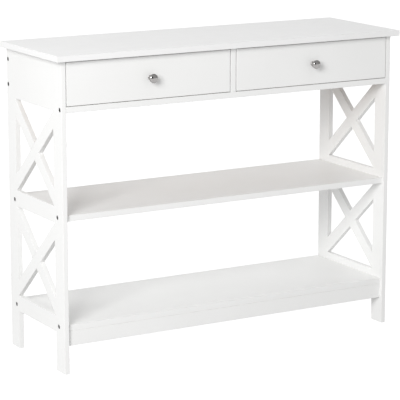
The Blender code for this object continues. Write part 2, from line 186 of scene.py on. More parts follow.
class FinishGraph(Graph):
    """Builds a finish around the Principled shader of a new material."""

    def __init__(self, name: str) -> None:
        """Make the material and read its surface's own coordinates."""
        self.material = bpy.data.materials.new(name)
        self.material.use_nodes = True
        super().__init__(self.material.node_tree)
        self.shader = self.tree.nodes["Principled BSDF"]
        self.place = self.node("ShaderNodeTexCoord").outputs["Object"]

    def stretched(self, x: float, y: float, z: float) -> Socket:
        """Return the coordinates with each axis divided by a length in metres."""
        inputs = {"Vector": self.place, "Scale": (1 / x, 1 / y, 1 / z)}
        return self.out("ShaderNodeMapping", inputs)

    def noise(
        self,
        size: float,
        detail: float = 2.0,
        roughness: float = 0.5,
        distortion: float = 0.0,
        vector: Socket | None = None,
    ) -> Socket:
        """Return a noise whose cells have about the given size.

        Args:
            size: the cells' size in metres, or in units of vector if that is given.
            detail: the number of finer layers.
            roughness: the weight of the finer layers.
            distortion: how far the cells are bent.
            vector: coordinates other than the surface's own.

        Returns:
            The noise, from 0 to 1 around 0.5.
        """
        inputs = {
            "Vector": vector or self.place,
            "Scale": 1 / size,
            "Detail": detail,
            "Roughness": roughness,
            "Distortion": distortion,
        }
        return self.out("ShaderNodeTexNoise", inputs)

    def spread(
        self,
        value: Socket,
        low: float,
        high: float,
        start: float = 0.35,
        end: float = 0.65,
    ) -> Socket:
        """Return the value's range from start to end stretched to low and high."""
        inputs = {0: value, 1: start, 2: end, 3: low, 4: high}
        return self.out("ShaderNodeMapRange", inputs)

    def blend(self, factor: object, first: object, second: object) -> Socket:
        """Return the mix of two colours, each a colour or a socket."""
        made = self.node("ShaderNodeMix", data_type="RGBA")
        self.feed(made.inputs[0], factor)
        for place, colour in ((6, first), (7, second)):
            self.feed(made.inputs[place], (*colour, 1.0) if isinstance(colour, tuple) else colour)
        return made.outputs[2]

    def mark(self, name: str) -> Socket:
        """Return the value that the mesh stores under a name."""
        return self.node("ShaderNodeAttribute", attribute_name=name).outputs["Fac"]

    def relief(
        self,
        height: Socket,
        depth: float,
        under: Socket | None = None,
    ) -> Socket:
        """Return normals roughened by a height, over other relief if that is given."""
        made = self.node("ShaderNodeBump", {"Distance": depth, "Height": height})
        if under:
            self.feed(made.inputs["Normal"], under)
        return made.outputs[0]

    def paint(self, colour: object, roughness: object, normal: object) -> None:
        """Join colour, roughness and normals to the shader."""
        self.feed(self.shader.inputs["Base Color"], colour)
        self.feed(self.shader.inputs["Roughness"], roughness)
        self.feed(self.shader.inputs["Normal"], normal)


class ShapeGraph(Graph):
    """Builds a Geometry Nodes tree with named inputs for its sizes."""

    KINDS = {
        float: "NodeSocketFloat",
        int: "NodeSocketInt",
        Vector: "NodeSocketVector",
        bpy.types.Material: "NodeSocketMaterial",
    }

    def __init__(self, name: str, inputs: dict[str, type]) -> None:
        """Make the tree and its inputs.

        Args:
            name: the tree's name.
            inputs: the kind of value that each named input takes.
        """
        tree = bpy.data.node_groups.new(name, "GeometryNodeTree")
        super().__init__(tree)
        for flow in ("INPUT", "OUTPUT"):
            tree.interface.new_socket("Geometry", in_out=flow, socket_type="NodeSocketGeometry")
        for label, kind in inputs.items():
            tree.interface.new_socket(label, in_out="INPUT", socket_type=self.KINDS[kind])
        self.entry = self.node("NodeGroupInput")
        self.exit = self.node("NodeGroupOutput")

    def size(self, label: str) -> Socket:
        """Return one of the tree's named inputs."""
        return self.entry.outputs[label]

    def end(self, shape: Socket) -> None:
        """Turn the shape's instances into faces, give it its finish and hand it out."""
        real = self.out("GeometryNodeRealizeInstances", {0: shape})
        inputs = {"Geometry": real, "Material": self.size("Finish")}
        finished = self.out("GeometryNodeSetMaterial", inputs)
        self.feed(self.exit.inputs[0], finished)


# Finishes


@dataclass(frozen=True)
class Finish(ABC):
    """A surface finish, made into a material once."""

    name: str
    slot: Slot

    def material(self) -> bpy.types.Material:
        """Return the finish's material."""
        found = bpy.data.materials.get(self.name)
        if found:
            return found
        graph = FinishGraph(self.name)
        self.lay(graph)
        return graph.material

    @abstractmethod
    def lay(self, graph: FinishGraph) -> None:
        """Build the finish's nodes."""


@dataclass(frozen=True)
class Lacquer(Finish):
    """Sprayed white lacquer, with orange peel and a thinner coat over the eased edges."""

    colour: Colour = (0.89, 0.89, 0.882)
    drift: Colour = (0.875, 0.875, 0.866)
    edge: Colour = (0.83, 0.825, 0.81)
    gloss: Pair = (0.32, 0.40)
    drift_size: float = 0.18
    smudge_size: float = 0.035
    peel_size: float = 0.0018
    peel_depth: float = 0.000004
    dust_size: float = 0.0005
    dust_depth: float = 0.0000006
    wear_size: float = 0.012
    wear_tint: float = 0.6
    wear_dulling: float = 0.12
    refraction: float = 1.5

    def lay(self, graph: FinishGraph) -> None:
        """Build tint drift, edge wear, patchy gloss and orange peel."""
        drift = graph.spread(graph.noise(self.drift_size), 0, 1)
        patches = graph.spread(graph.noise(self.wear_size, 3), 0, 1, 0.45, 0.6)
        worn = graph.times(graph.mark(EDGE_MARK), patches)
        colour = graph.blend(drift, self.colour, self.drift)
        colour = graph.blend(graph.times(worn, self.wear_tint), colour, self.edge)
        smudges = graph.spread(graph.noise(self.smudge_size, 3, 0.6, 0.4), *self.gloss)
        roughness = graph.times(worn, self.wear_dulling, smudges)
        peel = graph.relief(graph.noise(self.peel_size, 1.5, 0.4), self.peel_depth)
        dust = graph.relief(graph.noise(self.dust_size, 1), self.dust_depth, peel)
        graph.paint(colour, roughness, dust)
        graph.shader.inputs["IOR"].default_value = self.refraction


@dataclass(frozen=True)
class Foil(Finish):
    """White foil on chipboard, embossed with fine streaks along the board."""

    colour: Colour = (0.81, 0.81, 0.79)
    drift: Colour = (0.77, 0.77, 0.745)
    gloss: Pair = (0.42, 0.55)
    streak: Point = (0.0015, 0.05, 0.0015)
    streak_depth: float = 0.00003
    drift_size: float = 0.09
    pore_size: float = 0.0007
    pore_depth: float = 0.00001

    def lay(self, graph: FinishGraph) -> None:
        """Build the streaks, the tint and the gloss that follows them."""
        streaks = graph.noise(1.0, 4, 0.6, 0.3, graph.stretched(*self.streak))
        drift = graph.noise(self.drift_size, 3)
        colour = graph.blend(graph.spread(drift, 0, 1), self.colour, self.drift)
        colour = graph.blend(graph.spread(streaks, 0, 0.35), colour, self.drift)
        roughness = graph.spread(streaks, *self.gloss)
        grain = graph.relief(streaks, self.streak_depth)
        pores = graph.relief(graph.noise(self.pore_size, 2), self.pore_depth, grain)
        graph.paint(colour, roughness, pores)


@dataclass(frozen=True)
class Hardboard(Finish):
    """Hardboard, painted white above and raw brown fibre below."""

    painted: Colour = (0.79, 0.785, 0.765)
    speckle: Colour = (0.73, 0.72, 0.69)
    raw_light: Colour = (0.36, 0.22, 0.12)
    raw_dark: Colour = (0.22, 0.125, 0.065)
    fibre_size: float = 0.0035
    clump_size: float = 0.02
    mat_size: float = 0.0012
    mat_depth: float = 0.00004
    raw_dulling: float = 0.25

    def lay(self, graph: FinishGraph) -> None:
        """Build matted fibre, painted or raw by the face's mark."""
        fibre = graph.noise(self.fibre_size, 6, 0.7, 1.2)
        clumps = graph.noise(self.clump_size, 3)
        raw = graph.mark(RAW_MARK)
        above = graph.blend(graph.spread(fibre, 0, 1), self.painted, self.speckle)
        below = graph.blend(graph.spread(fibre, 0, 1), self.raw_light, self.raw_dark)
        below = graph.blend(graph.spread(clumps, 0, 0.4), below, self.raw_dark)
        colour = graph.blend(raw, above, below)
        matt = graph.spread(fibre, 0.5, 0.62)
        roughness = graph.times(raw, self.raw_dulling, matt)
        mat = graph.relief(graph.noise(self.mat_size, 3, 0.7), self.mat_depth)
        graph.paint(colour, roughness, mat)


@dataclass(frozen=True)
class Beech(Finish):
    """Waxed beech with the grain along Y and short darker flecks."""

    light: Colour = (0.66, 0.47, 0.29)
    dark: Colour = (0.50, 0.32, 0.17)
    fleck: Colour = (0.36, 0.21, 0.10)
    ring: Point = (0.006, 0.16, 0.006)
    fleck_size: Point = (0.0007, 0.004, 0.0007)
    pore: Point = (0.00025, 0.006, 0.00025)
    pore_depth: float = 0.00004
    ring_depth: float = 0.00005

    def lay(self, graph: FinishGraph) -> None:
        """Build growth rings, flecks and pores."""
        rings = graph.noise(1.0, 4, 0.55, 0.6, graph.stretched(*self.ring))
        flecks = graph.noise(1.0, 2, 0.5, 0.0, graph.stretched(*self.fleck_size))
        pores = graph.noise(1.0, 2, 0.5, 0.0, graph.stretched(*self.pore))
        shown = graph.spread(flecks, 0, 0.8, 0.60, 0.70)
        colour = graph.blend(graph.spread(rings, 0, 1), self.light, self.dark)
        colour = graph.blend(shown, colour, self.fleck)
        roughness = graph.spread(rings, 0.42, 0.58)
        grain = graph.relief(pores, self.pore_depth)
        figure = graph.relief(rings, self.ring_depth, grain)
        graph.paint(colour, roughness, figure)


@dataclass(frozen=True)
class Metal(Finish):
    """Bare or plated metal with a cloudy tint, fine scratches and uneven gloss."""

    colour: Colour = (0.42, 0.41, 0.405)
    cloud: Colour = (0.34, 0.33, 0.325)
    gloss: Pair = (0.08, 0.16)
    cloud_size: float = 0.006
    scratch_size: float = 0.0004
    scratch_depth: float = 0.000001

    def lay(self, graph: FinishGraph) -> None:
        """Build the clouds, the gloss and the scratches."""
        clouds = graph.noise(self.cloud_size, 3, 0.6, 0.5)
        scratches = graph.noise(self.scratch_size, 3, 0.7, 2.0)
        colour = graph.blend(graph.spread(clouds, 0, 1), self.colour, self.cloud)
        roughness = graph.spread(clouds, *self.gloss)
        graph.paint(colour, roughness, graph.relief(scratches, self.scratch_depth))
        graph.shader.inputs["Metallic"].default_value = 1.0


FRAME_LACQUER = Lacquer("satin_white_lacquer", Slot.WHITE_LACQUER)
TOP_LACQUER = Lacquer(
    "smooth_white_lacquer",
    Slot.TOP_LACQUER,
    colour=(0.885, 0.885, 0.882),
    drift=(0.87, 0.87, 0.866),
    gloss=(0.28, 0.36),
    peel_size=0.0022,
    peel_depth=0.000003,
)
WHITE_FOIL = Foil("white_foil", Slot.DRAWER_BOARD)
PAINTED_HARDBOARD = Hardboard("painted_hardboard", Slot.HARDBOARD)
WAXED_BEECH = Beech("waxed_beech", Slot.RUNNER_WOOD)
KNOB_CHROME = Metal("knob_chrome", Slot.POLISHED_CHROME)
BOLT_BLACK = Metal(
    "blackened_bolt_steel",
    Slot.BLACK_STEEL,
    colour=(0.13, 0.13, 0.135),
    cloud=(0.18, 0.175, 0.17),
    gloss=(0.34, 0.5),
    scratch_depth=0.000006,
)
SCREW_ZINC = Metal(
    "zinc_plated_screw_steel",
    Slot.ZINC_STEEL,
    colour=(0.62, 0.63, 0.66),
    cloud=(0.56, 0.57, 0.55),
    gloss=(0.26, 0.4),
    scratch_depth=0.000004,
)


# Meshes


def corners(
    node: str, below: Point = (0, 0, 0), above: Point = (0, 0, 0)
) -> tuple[Vector, Vector]:
    """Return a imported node's low and high corners.

    Args:
        node: the node's name.
        below: how far to move the low corner outwards, towards a neighbour it meets.
        above: the same for the high corner.
    """
    low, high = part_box(node)
    return low - Vector(below), high + Vector(above)


def add_object(name: str, shape: Shape) -> Piece:
    """Turn a bmesh into an object at the origin, its faces pointing outwards."""
    bmesh.ops.recalc_face_normals(shape, faces=shape.faces)
    mesh = bpy.data.meshes.new(name)
    shape.to_mesh(mesh)
    shape.free()
    made = bpy.data.objects.new(name, mesh)
    bpy.context.scene.collection.objects.link(made)
    return made


def settle(piece: Piece) -> None:
    """Make the result of a piece's modifiers its own mesh, and take them away."""
    depsgraph = bpy.context.evaluated_depsgraph_get()
    done = bpy.data.meshes.new_from_object(
        piece.evaluated_get(depsgraph), preserve_all_data_layers=True, depsgraph=depsgraph
    )
    piece.modifiers.clear()
    rough = piece.data
    piece.data = done
    bpy.data.meshes.remove(rough)
    done.name = piece.name


def shade(piece: Piece, sharp: float = SHARP_ANGLE) -> None:
    """Smooth a piece's roundings and keep its flat faces flat.

    Args:
        piece: the object.
        sharp: the angle past which an edge stays crisp.
    """
    piece.data.shade_smooth()
    piece.data.set_sharp_from_angle(angle=sharp)
    even = piece.modifiers.new("even_normals", "WEIGHTED_NORMAL")
    even.keep_sharp = True
    settle(piece)


def turn(shape: Shape, profile: Profile, place: Matrix, segments: int = 32) -> None:
    """Add a closed turned shape to a bmesh.

    Args:
        shape: the bmesh.
        profile: radius and height of each ring, the first and last on the axis.
        place: moves the shape, which is turned round Z, to where it goes.
        segments: the number of faces round the axis.
    """
    rings = []
    for radius, height in profile:
        if radius == 0:
            rings.append([shape.verts.new(place @ Vector((0, 0, height)))] * segments)
            continue
        ring = []
        for step in range(segments):
            angle = math.tau * step / segments
            spot = Vector((radius * math.cos(angle), radius * math.sin(angle), height))
            ring.append(shape.verts.new(place @ spot))
        rings.append(ring)
    for upper, lower in zip(rings, rings[1:]):
        for step in range(segments):
            following = (step + 1) % segments
            around = [upper[step], upper[following], lower[following], lower[step]]
            shape.faces.new(dict.fromkeys(around))


def facing(mouth: Vector, direction: Vector) -> Matrix:
    """Return the matrix that takes the origin to mouth and +Z to direction."""
    return Matrix.Translation(mouth) @ direction.to_track_quat("Z", "Y").to_matrix().to_4x4()


@dataclass(frozen=True)
class Ease:
    """The rounding of a board's edges that run along one axis."""

    axis: Axis
    radius: float
    toward: Point | None = None

    def takes(self, edge: bmesh.types.BMEdge, centre: Vector) -> bool:
        """Tell whether an edge of a board gets this rounding.

        Args:
            edge: the edge.
            centre: the middle of the board.
        """
        start, end = (corner.co for corner in edge.verts)
        along = abs((end - start).normalized()[self.axis.value]) > 0.999
        if not along or edge.calc_face_angle(0.0) < SQUARE_ANGLE:
            return False
        middle = (start + end) / 2 - centre
        return self.toward is None or middle.dot(Vector(self.toward)) > 0


class Cutter:
    """The holes and grooves of one board, gathered in one closed shape."""

    def __init__(self) -> None:
        """Start with nothing to cut."""
        self.shape = bmesh.new()

    def groove(self, low: Vector, high: Vector) -> None:
        """Add a box between two corners."""
        made = bmesh.ops.create_cube(self.shape, size=1.0)["verts"]
        bmesh.ops.scale(self.shape, vec=high - low, verts=made)
        bmesh.ops.translate(self.shape, vec=(low + high) / 2, verts=made)

    def bore(self, mouth: Vector, inward: Vector, profile: Profile) -> None:
        """Add a round hole, its profile's heights counted inwards from the mouth."""
        turn(self.shape, profile, facing(mouth, inward))

    def cut(self, board: Piece) -> None:
        """Take everything gathered out of a board."""
        if not self.shape.verts:
            self.shape.free()
            return
        tool = add_object(f"{board.name}_tool", self.shape)
        taken = board.modifiers.new("cuts", "BOOLEAN")
        taken.operation = "DIFFERENCE"
        taken.solver = "EXACT"
        taken.object = tool
        settle(board)
        rough = tool.data
        bpy.data.objects.remove(tool)
        bpy.data.meshes.remove(rough)


@dataclass
class Board:
    """One straight board with eased edges, holes and grooves."""

    name: str
    low: Vector
    high: Vector
    eases: Sequence[Ease] = ()
    cutter: Cutter = field(default_factory=Cutter)
    steps: int = 3

    def build(self) -> Piece:
        """Return the board's object."""
        shape = bmesh.new()
        mark = shape.faces.layers.float.new(EDGE_MARK)
        centre = (self.low + self.high) / 2
        bmesh.ops.create_cube(shape, size=1.0)
        bmesh.ops.scale(shape, vec=self.high - self.low, verts=shape.verts)
        bmesh.ops.translate(shape, vec=centre, verts=shape.verts)
        for radius in sorted({ease.radius for ease in self.eases}, reverse=True):
            group = [ease for ease in self.eases if ease.radius == radius]
            chosen = [e for e in shape.edges if any(ease.takes(e, centre) for ease in group)]
            rounded = bmesh.ops.bevel(
                shape, geom=chosen, offset=radius, segments=self.steps, profile=0.5, affect="EDGES"
            )
            for face in rounded["faces"]:
                face[mark] = 1.0
        made = add_object(self.name, shape)
        self.cutter.cut(made)
        shade(made)
        return made


# Pieces made by Geometry Nodes


def label(size: str) -> str:
    """Return the name of a tree's input for a size of the same name."""
    return size.replace("_", " ").capitalize()


def grow(
    name: str,
    tree: Tree,
    values: dict[str, object],
    spots: Sequence[Vector] = (),
) -> Piece:
    """Make an object from a Geometry Nodes tree and turn it into a plain mesh.

    Args:
        name: the object's name.
        tree: the tree.
        values: the value of each named input.
        spots: points that the tree puts its shapes on.

    Returns:
        The object, with no modifier left.
    """
    mesh = bpy.data.meshes.new(name)
    mesh.from_pydata([tuple(spot) for spot in spots], [], [])
    made = bpy.data.objects.new(name, mesh)
    bpy.context.scene.collection.objects.link(made)
    modifier = made.modifiers.new(tree.name, "NODES")
    modifier.node_group = tree
    for item in tree.interface.items_tree:
        if item.item_type == "SOCKET" and item.in_out == "INPUT" and item.name in values:
            modifier[item.identifier] = values[item.name]
    settle(made)
    shade(made)
    return made


@dataclass(frozen=True)
class Fastener:
    """A bolt or screw: a head with a recess and an eased crown, and a plain shank."""

    head_radius: float
    head_height: float
    crown: float
    shank_radius: float
    length: float
    drive: Drive
    drive_width: float
    drive_depth: float
    segments: int = 32

    SIZES = (
        "head_radius",
        "head_height",
        "crown",
        "shank_radius",
        "length",
        "drive_width",
        "drive_depth",
    )
    CROWN_STEPS = 4
    TAPER = 0.6
    CROSS_BLADE = 0.22

    def rings(self, graph: ShapeGraph) -> list[tuple[object, object]]:
        """Return the radius and height of each ring, from the head's middle to the tip."""
        head = graph.size("Head radius")
        shank = graph.size("Shank radius")
        crown = graph.size("Crown")
        seat = graph.times(graph.size("Head height"), -1.0)
        tip = graph.sum("SUBTRACT", seat, graph.size("Length"))
        narrow = graph.times(shank, self.TAPER)
        shoulder = graph.sum("ADD", tip, graph.sum("SUBTRACT", shank, narrow))
        found: list[tuple[object, object]] = [(0.0, 0.0)]
        for step in range(self.CROWN_STEPS):
            angle = math.pi / 2 * step / (self.CROWN_STEPS - 1)
            radius = graph.times(crown, math.sin(angle) - 1, head)
            height = graph.times(crown, math.cos(angle) - 1)
            found.append((radius, height))
        found += [(head, seat), (shank, seat), (shank, shoulder), (narrow, tip), (0.0, tip)]
        return found

    def recess(self, graph: ShapeGraph) -> list[Socket]:
        """Return the shapes that are cut out of the head."""
        width = graph.size("Drive width")
        depth = graph.times(graph.size("Drive depth"), 2.0)
        if self.drive is Drive.HEX:
            radius = graph.sum("DIVIDE", width, math.sqrt(3))
            inputs = {"Vertices": 6, "Radius": radius, "Depth": depth}
            return [graph.node("GeometryNodeMeshCylinder", inputs).outputs["Mesh"]]
        blade = graph.times(width, self.CROSS_BLADE)
        bars = []
        for size in ((width, blade, depth), (blade, width, depth)):
            inputs = {"Size": graph.vector(*size)}
            bars.append(graph.node("GeometryNodeMeshCube", inputs).outputs["Mesh"])
        return bars

    def tree(self) -> Tree:
        """Return the tree that turns one fastener and sets it on every point."""
        name = f"{self.drive.value}_fastener"
        found = bpy.data.node_groups.get(name)
        if found:
            return found
        inputs: dict[str, type] = dict.fromkeys(map(label, self.SIZES), float)
        inputs |= {"Segments": int, "Outward": Vector, "Finish": bpy.types.Material}
        graph = ShapeGraph(name, inputs)
        rings = self.rings(graph)
        around = graph.sum("ADD", graph.size("Segments"), 1.0)
        sheet = graph.node(
            "GeometryNodeMeshGrid",
            {"Size X": 1.0, "Size Y": 1.0, "Vertices X": len(rings), "Vertices Y": around},
        ).outputs["Mesh"]
        across, along, _ = graph.parts(graph.out("GeometryNodeInputPosition"))
        row = graph.times(graph.sum("ADD", across, 0.5), len(rings) - 1.0)
        angle = graph.times(graph.sum("ADD", along, 0.5), math.tau)
        picked = []
        for column in range(2):
            choice = graph.node("GeometryNodeIndexSwitch", data_type="FLOAT")
            while len(choice.index_switch_items) < len(rings):
                choice.index_switch_items.new()
            graph.feed(choice.inputs["Index"], graph.sum("ROUND", row))
            for place, ring in enumerate(rings):
                graph.feed(choice.inputs[place + 1], ring[column])
            picked.append(choice.outputs[0])
        x = graph.times(picked[0], graph.sum("COSINE", angle))
        y = graph.times(picked[0], graph.sum("SINE", angle))
        inputs = {"Geometry": sheet, "Position": graph.vector(x, y, picked[1])}
        turned = graph.out("GeometryNodeSetPosition", inputs)
        inputs = {"Geometry": turned, "Distance": WELD}
        closed = graph.out("GeometryNodeMergeByDistance", inputs)
        cut = graph.node("GeometryNodeMeshBoolean", {"Mesh 1": closed}, operation="DIFFERENCE")
        for shape in self.recess(graph):
            graph.feed(cut.inputs["Mesh 2"], shape)
        inputs = {"Vector": graph.size("Outward")}
        aim = graph.out("FunctionNodeAlignRotationToVector", inputs, axis="Z")
        inputs = {"Points": graph.size("Geometry"), "Instance": cut.outputs[0], "Rotation": aim}
        graph.end(graph.out("GeometryNodeInstanceOnPoints", inputs))
        return graph.tree

    def build(
        self, name: str, spots: Sequence[Vector], outward: Vector, finish: Finish
    ) -> Piece:
        """Make one object of equal fasteners.

        Args:
            name: the object's name.
            spots: the middle of each head's top.
            outward: the direction that the heads face.
            finish: what they are finished with.
        """
        values = {label(size): getattr(self, size) for size in (*self.SIZES, "segments")}
        values |= {"Outward": tuple(outward), "Finish": finish.material()}
        return grow(name, self.tree(), values, spots)


@dataclass(frozen=True)
class Brace:
    """A bar that runs from corner to corner of an opening, half-lapped over its pair."""

    name: str
    centre: Vector
    run: float
    rise: float
    thickness: float
    width: float
    lean: int
    lap: int
    ease: float = 0.0006
    lap_gap: float = 0.00004

    SIZES = ("run", "rise", "thickness", "width", "lean", "lap", "ease", "lap_gap")
    FLAT_END = 0.05
    FLAT_FACE = 0.98

    @staticmethod
    def bar(graph: ShapeGraph, lean: object, cutting: bool) -> Socket:
        """Return one bar, centred on the origin.

        Args:
            graph: the tree.
            lean: 1 where the bar rises towards +Y, -1 where it rises towards -Y.
            cutting: whether the bar is the tool that cuts the lap.
        """
        run, rise, width = graph.size("Run"), graph.size("Rise"), graph.size("Width")
        reach = graph.sum("POWER", run, 2.0)
        reach = graph.sum("SQRT", graph.times(rise, rise, reach))
        slope = graph.sum("ARCCOSINE", graph.sum("DIVIDE", width, reach))
        slope = graph.sum("SUBTRACT", slope, graph.sum("ARCTAN2", run, rise))
        if cutting:
            width = graph.times(graph.size("Lap gap"), 2.0, width)
        inputs = {"Width": graph.size("Thickness"), "Height": width}
        outline = graph.out("GeometryNodeCurvePrimitiveQuadrilateral", inputs)
        if not cutting:
            inputs = {"Curve": outline, "Count": 3, "Radius": graph.size("Ease")}
            outline = graph.out("GeometryNodeFilletCurve", inputs, mode="POLY")
        half = graph.times(run, 0.5)
        inputs = {
            "Start": graph.vector(0.0, graph.times(half, -1.0), 0.0),
            "End": graph.vector(0.0, half, 0.0),
        }
        path = graph.out("GeometryNodeCurvePrimitiveLine", inputs)
        inputs = {"Curve": path, "Profile Curve": outline, "Fill Caps": True}
        solid = graph.out("GeometryNodeCurveToMesh", inputs)
        x, y, z = graph.parts(graph.out("GeometryNodeInputPosition"))
        climb = graph.times(graph.sum("TANGENT", slope), lean)
        z = graph.sum("DIVIDE", z, graph.sum("COSINE", slope))
        z = graph.times(y, climb, z)
        inputs = {"Geometry": solid, "Position": graph.vector(x, y, z)}
        return graph.out("GeometryNodeSetPosition", inputs)

    @classmethod
    def tree(cls) -> Tree:
        """Return the tree that lays one brace across its opening."""
        found = bpy.data.node_groups.get("half_lapped_brace")
        if found:
            return found
        inputs: dict[str, type] = dict.fromkeys(map(label, cls.SIZES), float)
        inputs |= {"Centre": Vector, "Finish": bpy.types.Material}
        graph = ShapeGraph("half_lapped_brace", inputs)
        lean = graph.size("Lean")
        bar = cls.bar(graph, lean, cutting=False)
        across = cls.bar(graph, graph.times(lean, -1.0), cutting=True)
        depth = graph.sum("SUBTRACT", graph.size("Thickness"), graph.size("Lap gap"))
        shift = graph.times(graph.times(depth, 0.5), graph.size("Lap"))
        inputs = {"Geometry": across, "Translation": graph.vector(shift, 0.0, 0.0)}
        tool = graph.out("GeometryNodeTransform", inputs)
        cut = graph.out(
            "GeometryNodeMeshBoolean", {"Mesh 1": bar, "Mesh 2": tool}, operation="DIFFERENCE"
        )
        sideways, _, _ = graph.parts(graph.out("GeometryNodeInputNormal"))
        tilt = graph.sum("ABSOLUTE", sideways)
        eased = graph.times(graph.sum("GREATER_THAN", tilt, cls.FLAT_END), tilt)
        eased = graph.times(eased, graph.sum("LESS_THAN", tilt, cls.FLAT_FACE))
        marked = graph.out(
            "GeometryNodeStoreNamedAttribute",
            {"Geometry": cut, "Name": EDGE_MARK, "Value": eased},
            data_type="FLOAT",
            domain="FACE",
        )
        inputs = {"Geometry": marked, "Translation": graph.size("Centre")}
        graph.end(graph.out("GeometryNodeTransform", inputs))
        return graph.tree

    def build(self, finish: Finish) -> Piece:
        """Return the brace's object."""
        values: dict[str, object] = {label(size): float(getattr(self, size)) for size in self.SIZES}
        values |= {"Centre": tuple(self.centre), "Finish": finish.material()}
        return grow(self.name, self.tree(), values)


# Sub-assemblies


def dress(piece: Piece, body: str, finish: Finish, *nodes: str) -> None:
    """Give a piece its finish and body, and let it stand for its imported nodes.

    Args:
        piece: the object.
        body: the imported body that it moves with.
        finish: its finish.
        *nodes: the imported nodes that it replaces.
    """
    piece.data.materials.clear()
    piece.data.materials.append(finish.material())
    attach(piece, body)
    if nodes:
        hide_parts(*nodes)
    LOG.info("%s: %s on %s, %d faces", piece.name, finish.name, body, len(piece.data.polygons))


def fit_board(
    node: str,
    body: str,
    box: tuple[Vector, Vector],
    eases: Sequence[Ease],
    cutter: Cutter | None = None,
    finish: Finish = FRAME_LACQUER,
    steps: int = 3,
) -> None:
    """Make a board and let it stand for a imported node.

    Args:
        node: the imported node.
        body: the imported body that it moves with.
        box: its low and high corners.
        eases: the rounding of its edges.
        cutter: its holes and grooves, if it has any.
        finish: its finish.
        steps: the number of faces across a rounding.
    """
    board = Board(f"{node}_piece", *box, eases, cutter or Cutter(), steps)
    dress(board.build(), body, finish, node)


@dataclass(frozen=True)
class FrameBolts:
    """The socket-head bolts sunk in the outer faces of the legs."""

    bolt: Fastener = Fastener(
        head_radius=0.0055,
        head_height=0.0035,
        crown=0.0006,
        shank_radius=0.003,
        length=0.0465,
        drive=Drive.HEX,
        drive_width=0.005,
        drive_depth=0.0022,
    )
    clearance: float = 0.0003
    margin: float = 0.001
    mouth: float = 0.0004
    body: str = "table_frame"

    KINDS = (
        "panel_bolt_upper",
        "panel_bolt_lower",
        "rail_bolt",
        "mid_shelf_bolt_front",
        "mid_shelf_bolt_back",
        "bottom_shelf_bolt_front",
        "bottom_shelf_bolt_back",
    )

    def top(self, side: Side, kind: str) -> Vector:
        """Return the middle of the top of one bolt's head."""
        low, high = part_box(f"{side.label}_{kind}")
        middle = (low + high) / 2
        middle.x = high.x if side is Side.RIGHT else low.x
        return middle

    def bore_leg(self, cutter: Cutter, side: Side, kind: str) -> None:
        """Add a bolt's counterbored hole to the cutter of its leg."""
        top = self.top(side, kind)
        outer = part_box(f"{side.label}_front_leg")[side is Side.RIGHT].x
        face = Vector((outer, top.y, top.z))
        sunk = abs(outer - top.x)
        wide = self.bolt.head_radius + self.clearance
        narrow = self.bolt.shank_radius + self.clearance
        seat = sunk + self.bolt.head_height
        end = seat + self.bolt.length
        flare = wide + self.mouth + self.margin
        profile = [
            (0, -self.margin),
            (flare, -self.margin),
            (wide, self.mouth),
            (wide, seat),
            (narrow, seat),
            (narrow, end),
            (0, end),
        ]
        cutter.bore(face, -side.outward, profile)

    def bore_board(self, cutter: Cutter, side: Side, kind: str) -> None:
        """Add the hole of a bolt's shank to the cutter of the board it holds."""
        radius = self.bolt.shank_radius + self.clearance
        end = self.bolt.head_height + self.bolt.length + self.margin
        profile = [(0, 0), (radius, 0), (radius, end), (0, end)]
        cutter.bore(self.top(side, kind), -side.outward, profile)

    def build(self, side: Side) -> None:
        """Make and dress the bolts of one side frame."""
        spots = [self.top(side, kind) for kind in self.KINDS]
        name = f"{side.label}_frame_bolts"
        piece = self.bolt.build(name, spots, side.outward, BOLT_BLACK)
        dress(piece, self.body, BOLT_BLACK, *(f"{side.label}_{kind}" for kind in self.KINDS))


